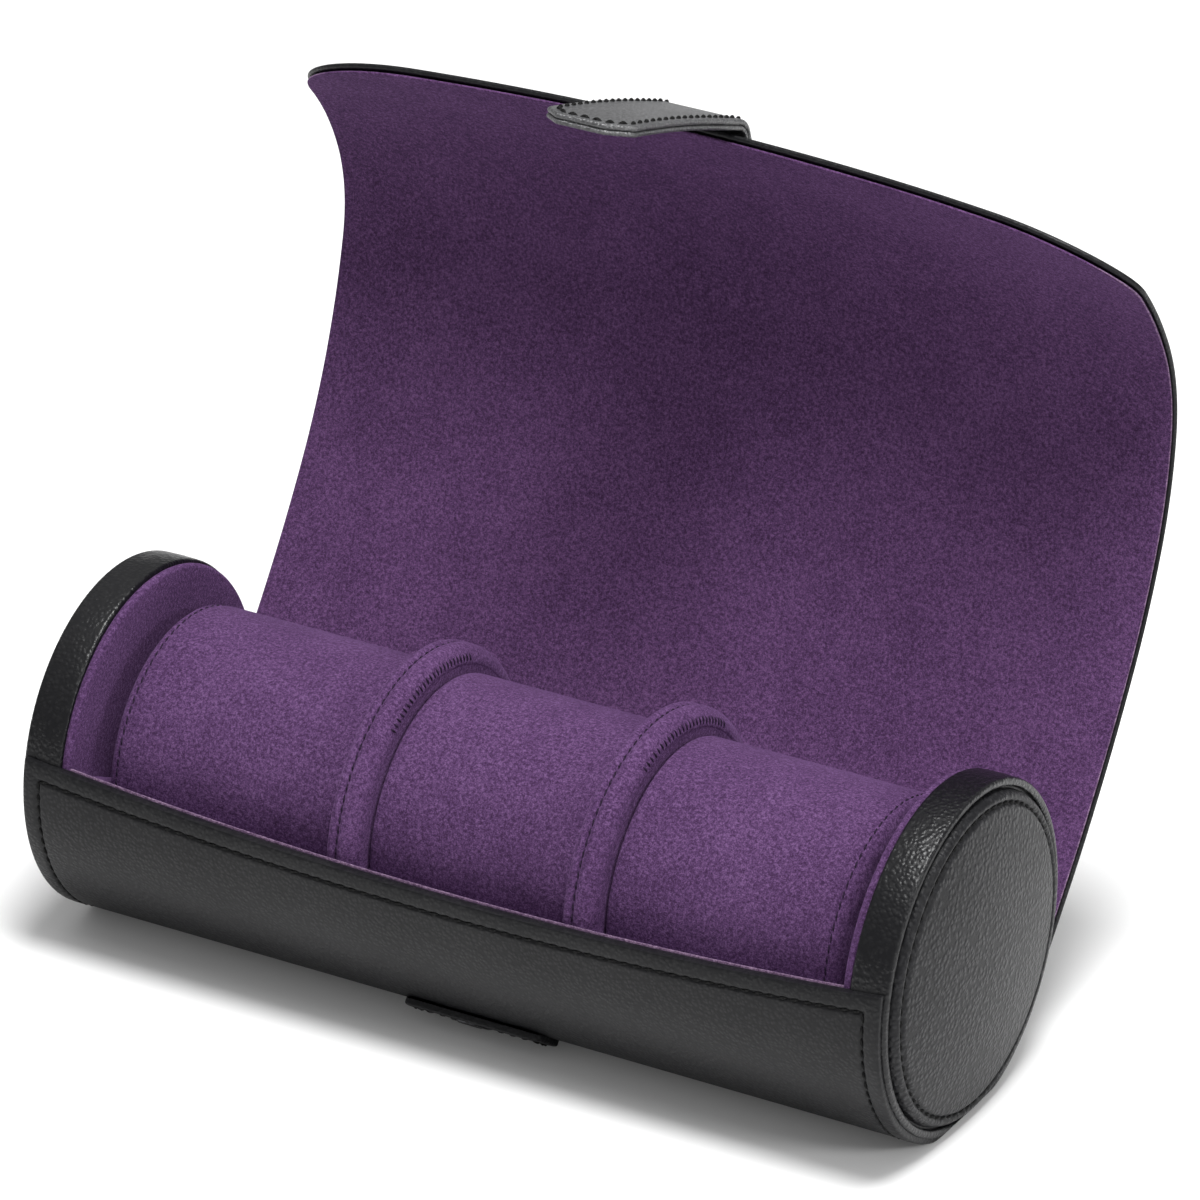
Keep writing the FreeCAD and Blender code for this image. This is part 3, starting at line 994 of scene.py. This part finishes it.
def span_distances(spans, counts, limit):
    """Distances along a curve up to a limit, each span divided evenly."""
    starts = span_starts(spans)
    distances = set()
    for start, end, count in zip(starts, starts[1:], counts):
        distances.update(distance for distance in spread(start, end, count) if distance < limit)
    return sorted(distances)


def on_curve(spans, distance, height):
    """The point at a flat distance along the curve and a height on its outward side."""
    lengths = span_lengths(spans)
    index = 0
    while index < len(spans) - 1 and distance > lengths[index]:
        distance -= lengths[index]
        index += 1
    a, b, c = spans[index]
    share = distance / lengths[index]
    point = a * (1 - share) ** 2 + b * (2 * share * (1 - share)) + c * share ** 2
    along = ((b - a) * (1 - share) + (c - b) * share).normalized()
    return point + Vector((0, along.z, -along.y)) * height


def heading_step(heading, length):
    return Vector((0, length * math.cos(heading), length * math.sin(heading)))


def flat_rows(rim, profile, columns):
    """Rows of flat (x, distance, height) across a sheet, and the rows of its end strip.
    The profile is (inset, height) from the edge inwards, and the last height goes on to the middle."""
    rows = []
    for x, distance, in_x, in_d in rim:
        edge = [(x + in_x * inset, distance + in_d * inset, height) for inset, height in profile]
        inner_x, inner_d, middle_height = edge[-1]
        inner = [(at, inner_d, middle_height) for at in spread(-inner_x, inner_x, columns)[1:-1]]
        rows.append([(-a, b, c) for a, b, c in edge] + inner + edge[::-1])
    end_x, end_d = rim[-1][:2]
    end_rows = []
    for inset, height in reversed(profile):
        end_rows.append([(at, end_d - inset, height) for at in spread(-end_x, end_x, columns)])
    return rows, end_rows


def sheet_pieces(name, rim, profiles, columns, place, spans, material):
    """The pieces of a sheet, one for each span of its curve, each closed and welded."""
    faces = [flat_rows(rim, profile, columns) for profile in profiles]
    starts = span_starts(spans)
    pieces = []
    for index in range(len(spans)):
        low, high = starts[index] - weld, starts[index + 1] + weld
        chosen = [row for row, edge in enumerate(rim) if low <= edge[1] <= high]
        parts = []
        for rows, end_rows in faces:
            parts.append([rows[row] for row in chosen])
            if index == len(spans) - 1:
                parts.append(end_rows)
        for row in (chosen[0], chosen[-1]):
            if row != len(rim) - 1:
                parts.append([rows[row] for rows, end_rows in faces])
        skins = [skin([[place(*flat) for flat in row] for row in part]) for part in parts]
        pieces.append(make_piece(f"{name}_{index}", skins, material))
    return pieces


def sewn_pieces(name, rim, spans, place, height, width=stitch_width):
    """Rows of stitches along both sides and the end of a sheet, one piece for each span."""
    starts = span_starts(spans)
    end_x, end_d = rim[-1][:2]
    pieces = []
    for index in range(len(spans)):
        low, high = starts[index] - weld, starts[index + 1] + weld
        runs = [[(sign * x, d) for x, d, in_x, in_d in rim if low <= d <= high] for sign in (-1, 1)]
        if index == len(spans) - 1:
            across = [(x, end_d) for x in spread(-end_x, end_x, end_stitch_steps)[1:-1]]
            runs = [runs[0] + across + runs[1][::-1]]
        stitches = []
        for run in runs:
            path = []
            for x, d in run:
                point = place(x, d, height)
                path.append((point, (place(x, d, height + MM) - point).normalized()))
            stitches += stitch_run(path, width=width)
        pieces.append(make_piece(f"{name}_{index}", stitches, black_thread))
    return pieces


def bend_along(pieces, spans, bodies):
    """The first pieces are baked where they lie, and the last rides on the last body."""
    for piece, (start, corner, end), first, second in zip(pieces, spans, bodies, bodies[1:]):
        start.lerp(end, blend_share)
        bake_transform(piece)
        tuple(start)
    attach(pieces[-1], bodies[-1])


def round_edges(low, high):
    """The (inset, height) of both halves of a layer's round edge, from the rim to the flat."""
    radius, middle = (high - low) / 2, (high + low) / 2
    turns = spread(0, math.pi / 2, round_steps)
    return [[(radius * (1 - math.cos(turn)), middle + side * radius * math.sin(turn)) for turn in turns]
            for side in (-1, 1)]


# Lid
root_out = (lid_root - Vector((0, 0, axis_height))).normalized()
lid_folds = [lid_root - root_out * lid_thickness, joint_at["lid_curl"]]
lid_folds += [joint_at[f"lid_fold_{number}"] for number in range(3, 9)]
lid_strip = (lid_folds[-1] - lid_folds[-2]).length
lid_folds.append(lid_folds[-1] + heading_step(lid_end_heading, lid_strip))
lid_spans = curve_spans(lid_folds)
lid_length = sum(span_lengths(lid_spans))
lid_bodies = ["case"] + [f"lid_{number}" for number in range(1, 9)]
lid_curves = {}


def lid_curve(x):
    """The lid's curve at a place across it: its last strips lean and curl a little from side to side."""
    key = round(x / weld)
    if key not in lid_curves:
        across = x / half_length
        leaning = len(lid_leans)
        points = lid_folds[:-leaning]
        last_folds = lid_folds[-leaning - 1:]
        for (middle, lean, sides), first, second in zip(lid_leans, last_folds, last_folds[1:]):
            turn = Matrix.Rotation(math.radians(middle + lean * across + sides * across ** 2), 3, "X")
            points.append(points[-1] + turn @ (second - first))
        lid_curves[key] = curve_spans(points)
    return lid_curves[key]


def lid_place(x, distance, height):
    point = on_curve(lid_curve(x), distance, height)
    point.x = x
    return point


def lid_rim(inset):
    """The lid's right side laid flat, root to free edge: (x, distance, inward x, inward distance)."""
    side = half_length - lid_side_inset - inset
    corner_width, corner_height = lid_corner_width - inset, lid_corner_height - inset
    corner_start = lid_length - inset - corner_height
    counts = [lid_root_rows] + [lid_span_rows] * (len(lid_spans) - 1)
    rim = [(side, d, -1, 0) for d in span_distances(lid_spans, counts, corner_start)]
    last_start = span_starts(lid_spans)[-2]
    turns = spread(0, math.pi / 2, lid_corner_rows)
    turns.append(math.asin((last_start - corner_start) / corner_height))
    for turn in sorted(turns):
        lean = Vector((math.cos(turn) / corner_width, math.sin(turn) / corner_height)).normalized()
        x = side - corner_width * (1 - math.cos(turn))
        rim.append((x, corner_start + corner_height * math.sin(turn), -lean.x, -lean.y))
    return rim


def lid_layer(name, rim, profiles, place, material, node_name):
    """A layer of the lid, cut from one sheet, which hides the frame's pieces of that layer."""
    pieces = sheet_pieces(name, rim, profiles, lid_columns, place, lid_spans, material)
    bend_along(pieces, lid_spans, lid_bodies)
    starts = span_starts(lid_spans)
    for index, piece in enumerate(pieces):
        if index == 0:
            continue
        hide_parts(f"{node_name}_{index}")
        low, high = starts[index], starts[index + 1]
        inside = [(x, d) for x, d, in_x, in_d in rim if low - weld <= d <= high + weld]
        area = sum((a[0] + b[0]) * (b[1] - a[1]) for a, b in zip(inside, inside[1:]))
        root = pieces[:1] if index == 1 else []
        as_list(root)
    return pieces


def lid_leather():
    """The lid's leather, a plain sheet with a waxed round edge."""
    front, back = round_edges(lid_leather_front, lid_leather_back)
    front += [(inset, lid_leather_front) for inset in lid_leather_insets]
    back += [(inset, lid_leather_back) for inset in lid_leather_insets]
    lid_layer("lid_cover", lid_rim(0), (front, back), lid_place, black_leather, "lid_leather")


def lid_lining():
    """The lid's suede, with its cut edge standing just off the leather."""
    front, back = round_edges(lid_lining_front, lid_lining_edge_back)
    for inset, share in lid_lining_insets:
        front.append((inset, lid_lining_front))
        back.append((inset, lid_lining_edge_back + share * (lid_leather_front - lid_lining_edge_back)))
    side = half_length - lid_side_inset - lid_lining_inset

    def place(x, distance, height):
        rise = (lid_leather_front - height) / (lid_leather_front - lid_lining_front)
        wave = noise.noise(Vector((x, distance, 0)) / lid_wave_length) * lid_waves * rise
        narrow = 1 - smooth_step((distance - lid_root_taper) / lid_root_taper)
        return lid_place(x * (1 + (lid_root_side / side - 1) * narrow), distance, height - wave)

    rim = lid_rim(lid_lining_inset)
    pieces = lid_layer("lid_inside", rim, (front, back), place, lid_suede, "lid_lining")
    for piece in pieces:
        finish_where(piece, edge_suede, lambda face: abs(face.normal.x) > lid_edge_share)


def lid_seams():
    """A row of stitches round the outside of the lid."""
    height = lid_leather_back - lid_stitch_depth
    pieces = sewn_pieces("lid_stitches", lid_rim(lid_seam_inset), lid_spans, lid_place, height)
    bend_along(pieces, lid_spans, lid_bodies)


# Strap
def strap_curve():
    """The strap's back, from its sewn end on the lid, over the edge and out to its tip."""
    edge = lid_place(strap_middle, lid_length, lid_leather_back)
    before = lid_place(strap_middle, lid_length - MM, lid_leather_back)
    edge.x = before.x = 0
    along = (edge - before).normalized()
    out = Vector((0, along.z, -along.y))
    link = (joint_at["strap_flex"] - joint_at["strap_fold_1"]).length
    crest = edge + out * strap_crest_rise - along * strap_crest_setback
    low = edge - along * (strap_crest_setback + strap_bend_reach)
    first = heading_step(strap_headings[0], 1)
    points = [edge - along * strap_anchor_reach, low, crest, crest + first * strap_bend_reach]
    place = crest + first * (edge + along * strap_edge_overhang - crest).dot(first)
    for heading in strap_headings:
        place = place + heading_step(heading, link)
        points.append(place)
    return curve_spans(points)


strap_spans = strap_curve()
strap_length = sum(span_lengths(strap_spans))


def strap_place(x, distance, height):
    point = on_curve(strap_spans, distance, height)
    point.x = strap_middle + x
    return point


def strap_rim(inset):
    """Right-hand outline of the strap laid flat, with its end corners cut and softened."""
    side = strap_half_width - inset
    end = strap_length - inset
    chamfer = strap_end_chamfer - inset * (2 - math.sqrt(2))
    bend = strap_corner_round * math.tan(math.pi / 8)
    straight = end - chamfer - bend
    rim = [(side, d, -1, 0) for d in span_distances(strap_spans, [strap_rows] * len(strap_spans), straight)]
    centres = ((side - strap_corner_round, straight), (side - chamfer - bend, end - strap_corner_round))
    for (centre_x, centre_d), first in zip(centres, (0, math.pi / 4)):
        for turn in spread(first, first + math.pi / 4, arc_steps):
            lean_x, lean_d = math.cos(turn), math.sin(turn)
            x = centre_x + strap_corner_round * lean_x
            rim.append((x, centre_d + strap_corner_round * lean_d, -lean_x, -lean_d))
    return rim


def strap_moves(pieces):
    """The sewn end rides on the lid and each piece within one link rides on it; the pieces that cross
    between two links stay where they lie.
    """
    for index, piece in enumerate(pieces):
        first, second = strap_bodies[max(0, index - 1)], strap_bodies[index]
        start, corner, end = strap_spans[index]
        if first == second or index == len(pieces) - 1:
            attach(piece, second)
        else:
            start.lerp(end, blend_share)
            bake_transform(piece)
            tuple(start)


def strap_layer(name, node_name, low, high):
    middle, half = (low + high) / 2, strap_layer_share * (high - low) / 2
    front, back = round_edges(middle - half, middle + half)
    front.append((strap_flat_inset, middle - half))
    back.append((strap_flat_inset, middle + half))
    rim = strap_rim(0)
    # The strap's leather carries painted sheen in its colour, the reflection of the overhead light on its
    # top
    pieces = sheet_pieces(name, rim, (front, back), strap_columns, strap_place, strap_spans, strap_leather_painted_sheen)
    strap_moves(pieces)
    for number, piece in enumerate(pieces[-3:], start=1):
        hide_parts(f"{node_name}_{number}")
    return pieces


def strap():
    """Two sewn layers with waxed edges."""
    under = strap_layer("strap_under", "strap_back", 0, strap_back_thickness)
    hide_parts("strap_anchor")
    strap_layer("strap_upper", "strap_top", strap_back_thickness, strap_thickness)
    rim = strap_rim(strap_seam_inset)
    height, width = strap_thickness, strap_stitch_width
    strap_moves(sewn_pieces("strap_stitches", rim, strap_spans, strap_place, height, width))


# Press stud and its socket
def turned_peg(root, out, *parts):
    """A profile of heights and radii turned about a line that points out of a surface."""
    profile = [(height * MM, share * radius) for table, radius in parts for height, share in table]
    side = Vector((1, 0, 0))
    along = out.cross(side).normalized()
    rows = []
    for turn in spread(0, 2 * math.pi, peg_segments):
        spoke = side * math.cos(turn) + along * math.sin(turn)
        rows.append([root + out * height + spoke * radius for height, radius in profile])
    return skin(rows, ring=True)


def nearest_on_strap(point):
    """The distance along the strap whose back lies nearest to a point."""
    def gap(distance):
        place = strap_place(0, distance, 0)
        return math.hypot(place.y - point.y, place.z - point.z)
    return min(spread(0, strap_length, strap_search_steps), key=gap)


def press_stud():
    """A plated stud under the strap: a flange, a waisted post and a round nose."""
    place = nearest_on_strap((stud_low + stud_high) / 2)
    root = strap_place(0, place, stud_lift)
    out = (strap_place(0, place, -MM) - root).normalized()
    flange, post = (stud_flange_profile, stud_flange_radius), (stud_post_profile, stud_post_radius)
    piece = make_piece("stud", [turned_peg(root, out, flange, post)], snap_metal)
    on_body(piece, "strap_3", "snap_metal", "press_stud")


def closure_pad():
    """A leather patch low on the front, sewn down but standing off a little along its upper edge."""
    half_width = (pad_high.x - pad_low.x) / 2
    half_height = pad_height / 2
    outline = []
    for quarter, (sign_x, sign_a) in enumerate(((1, 1), (-1, 1), (-1, -1), (1, -1))):
        centre = (sign_x * (half_width - pad_round), sign_a * (half_height - pad_round))
        outline += corner_arc(centre, pad_round, 90 * quarter, 90 * quarter + 90, round_steps)

    def place(x, across, height):
        upper = smooth_step((-across / half_height - pad_lift_share) / (1 - pad_lift_share))
        return about_axis(x, roll_radius + height + pad_lift * upper, pad_angle + across / roll_radius)

    def ring(shrink, height, share=0):
        """The outline, set in, raised and drawn in towards the pad's middle line."""
        points = []
        for x, across in outline:
            inner_x = x * (1 - shrink / half_width)
            keep = max(0, abs(inner_x) - share * half_height)
            inner = across * (1 - shrink / half_height) * (1 - share)
            points.append(place(math.copysign(keep, inner_x), inner, height))
        return points

    rings = [ring(0, pad_under)]
    for share in pad_edge_shares:
        fall = pad_edge_round * (1 - math.sqrt(1 - (1 - share) ** 2))
        rings.append(ring(pad_edge_round * share, pad_thickness - fall))
    rings += [ring(pad_edge_round, pad_thickness + pad_crown, share) for share in pad_face_shares]
    under = [ring(0, pad_under, share) for share in (0, *pad_face_shares)]
    piece = make_piece("pad", [skin(rings, ring=True), skin(under, ring=True)], black_leather)
    on_body(piece, "case", "leather", "closure_pad")
    seam_points = ring(pad_seam_inset, pad_thickness + pad_stitch_lift)
    seam_above = ring(pad_seam_inset, pad_thickness + MM)
    seam = [(point, (above - point).normalized()) for point, above in zip(seam_points, seam_above)]
    on_body(make_piece("pad_stitches", stitch_run(seam, closed=True), black_thread), "case", "leather")


def snap_socket():
    """A low dark socket ring with a rolled rim."""
    out = Vector((0, math.cos(pad_angle), math.sin(pad_angle)))
    root = about_axis(socket_middle.x, roll_radius + pad_thickness, pad_angle)
    rim, hole = (socket_rim_profile, socket_radius), (socket_hole_profile, socket_hole)
    piece = make_piece("socket", [turned_peg(root, out, rim, hole)], dark_metal)
    on_body(piece, "case", "dark_metal", "snap_socket")


# Build
tray_leather()
tray_board()
tray_lining()
tray_seams()
for end_side in (-1, 1):
    drum_end(end_side)
for divider_number in (1, 2):
    divider(divider_number)
for cushion_number in (1, 2, 3):
    cushion(cushion_number)
lid_leather()
lid_lining()
lid_seams()
strap()
press_stud()
closure_pad()
snap_socket()

# Pieces that stay as the frame has them
kept_boards = ("left_drum_core", "right_drum_core", "divider_1_board", "divider_2_board")
finishes = {**{name: board for name in kept_boards}, "socket_rivet": dark_metal}
for node_name, finish in finishes.items():
    shown = frame["nodes"][node_name]
    shown.data.materials.clear()
    shown.data.materials.append(finish)


# Stage
def floor_material():
    """White paper that keeps the shadow."""
    material, tree, shader = new_material("floor")
    tree.nodes.remove(shader)
    seen = node(tree, "LightPath", {})
    level = node(tree, "Math", {0: [seen, "Is Camera Ray"], 1: floor_glow}, operation="MULTIPLY")
    paper = node(tree, "BsdfDiffuse", {"Color": floor_colour})
    glow = node(tree, "Emission", {"Color": white, "Strength": [level, "Value"]})
    both = node(tree, "AddShader", {0: [paper, "BSDF"], 1: [glow, "Emission"]})
    feed(tree, tree.nodes["Material Output"], {"Surface": [both, "Shader"]})
    return material


def floor():
    bpy.ops.mesh.primitive_plane_add(size=floor_size)
    sheet = bpy.context.object
    sheet.name = "floor"
    sheet.data.materials.append(floor_material())


def sky():
    """Soft light from all round, brighter from above, on a white background."""
    world = bpy.data.worlds.new("studio")
    world.use_nodes = True
    bpy.context.scene.world = world
    tree = world.node_tree
    parts = node(tree, "SeparateXYZ", {"Vector": [node(tree, "TexCoord", {}), "Generated"]})
    rise = {"Value": [parts, "Z"], "To Min": sky_low, "To Max": sky_high}
    light = node(tree, "MapRange", rise, interpolation_type="SMOOTHSTEP")
    seen = node(tree, "LightPath", {})
    level = node(tree, "Math", {0: [light, "Result"], 1: [seen, "Is Camera Ray"]}, operation="MAXIMUM")
    feed(tree, tree.nodes["Background"], {"Color": white, "Strength": [level, "Value"]})


def look_along(name, data, place, direction):
    """An object for a lamp's or a camera's data at a place, looking in a direction."""
    made = bpy.data.objects.new(name, data)
    made.location = place
    made.rotation_euler = direction.to_track_quat("-Z", "Y").to_euler()
    bpy.context.scene.collection.objects.link(made)
    return made


def lamp(name, place, size, power):
    light = bpy.data.lights.new(name, "AREA")
    light.shape = "DISK"
    light.size = size
    light.energy = power
    look_along(name, light, place, lamp_target - Vector(place))


def camera():
    level = math.cos(camera_elevation)
    aside, ahead = math.sin(camera_azimuth) * level, math.cos(camera_azimuth) * level
    back = Vector((aside, -ahead, math.sin(camera_elevation)))
    data = bpy.data.cameras.new("camera")
    data.lens = camera_lens
    data.sensor_width = camera_sensor
    bpy.context.scene.camera = look_along("camera", data, camera_target + back * camera_distance, -back)


floor()
sky()
for lamp_name, look in lamps.items():
    lamp(lamp_name, *look)
camera()
bpy.context.scene.view_settings.view_transform = "Standard"
